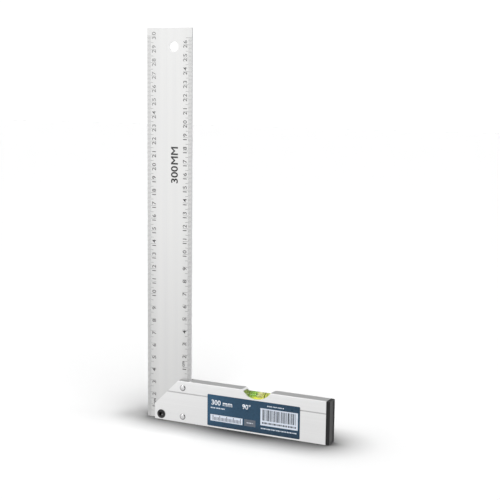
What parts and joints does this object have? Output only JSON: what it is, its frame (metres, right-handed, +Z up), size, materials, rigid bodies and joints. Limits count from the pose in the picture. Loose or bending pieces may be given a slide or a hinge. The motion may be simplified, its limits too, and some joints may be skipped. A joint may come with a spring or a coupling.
{
  "type": "carpenter square",
  "caption": "Fixed try square: a graduated metal blade held upright in the mitred end of a hollow aluminium stock with a spirit vial in its top edge and a plastic end cap.",
  "frame": {"origin": "middle of the square's footprint on the base plane: half way from the blade's outer edge to the outside of the end cap, in the blade's middle plane", "axes": "+X along the stock from the blade to the end cap, +Y from the labelled front face to the back face, +Z up along the blade"},
  "size_m": [0.158, 0.013, 0.306],
  "materials": {
    "blade_steel": "fine brushed stainless steel with etched scales",
    "anodised_aluminium": "satin clear anodised extrusion",
    "cap_plastic": "matt black moulded plastic",
    "rivet_aluminium": "bright formed rivet",
    "black_steel": "blackened steel",
    "clear_acrylic": "clear moulded acrylic",
    "vial_fluid": "yellow-green level fluid",
    "ring_ink": "black marker ring",
    "label_film": "printed self-adhesive film, semi-gloss"
  },
  "bodies": {
    "root": {"blade": "blade_steel", "stock": "anodised_aluminium", "end_cap": "cap_plastic", "upper_rivet": "rivet_aluminium", "lower_rivet": "rivet_aluminium", "clamp_screw": "black_steel", "sleeve_nut": "black_steel", "vial_tube": "clear_acrylic", "vial_plug": "clear_acrylic", "vial_fluid": "vial_fluid", "left_ring": "ring_ink", "right_ring": "ring_ink", "label": "label_film"}
  },
  "joints": []
}
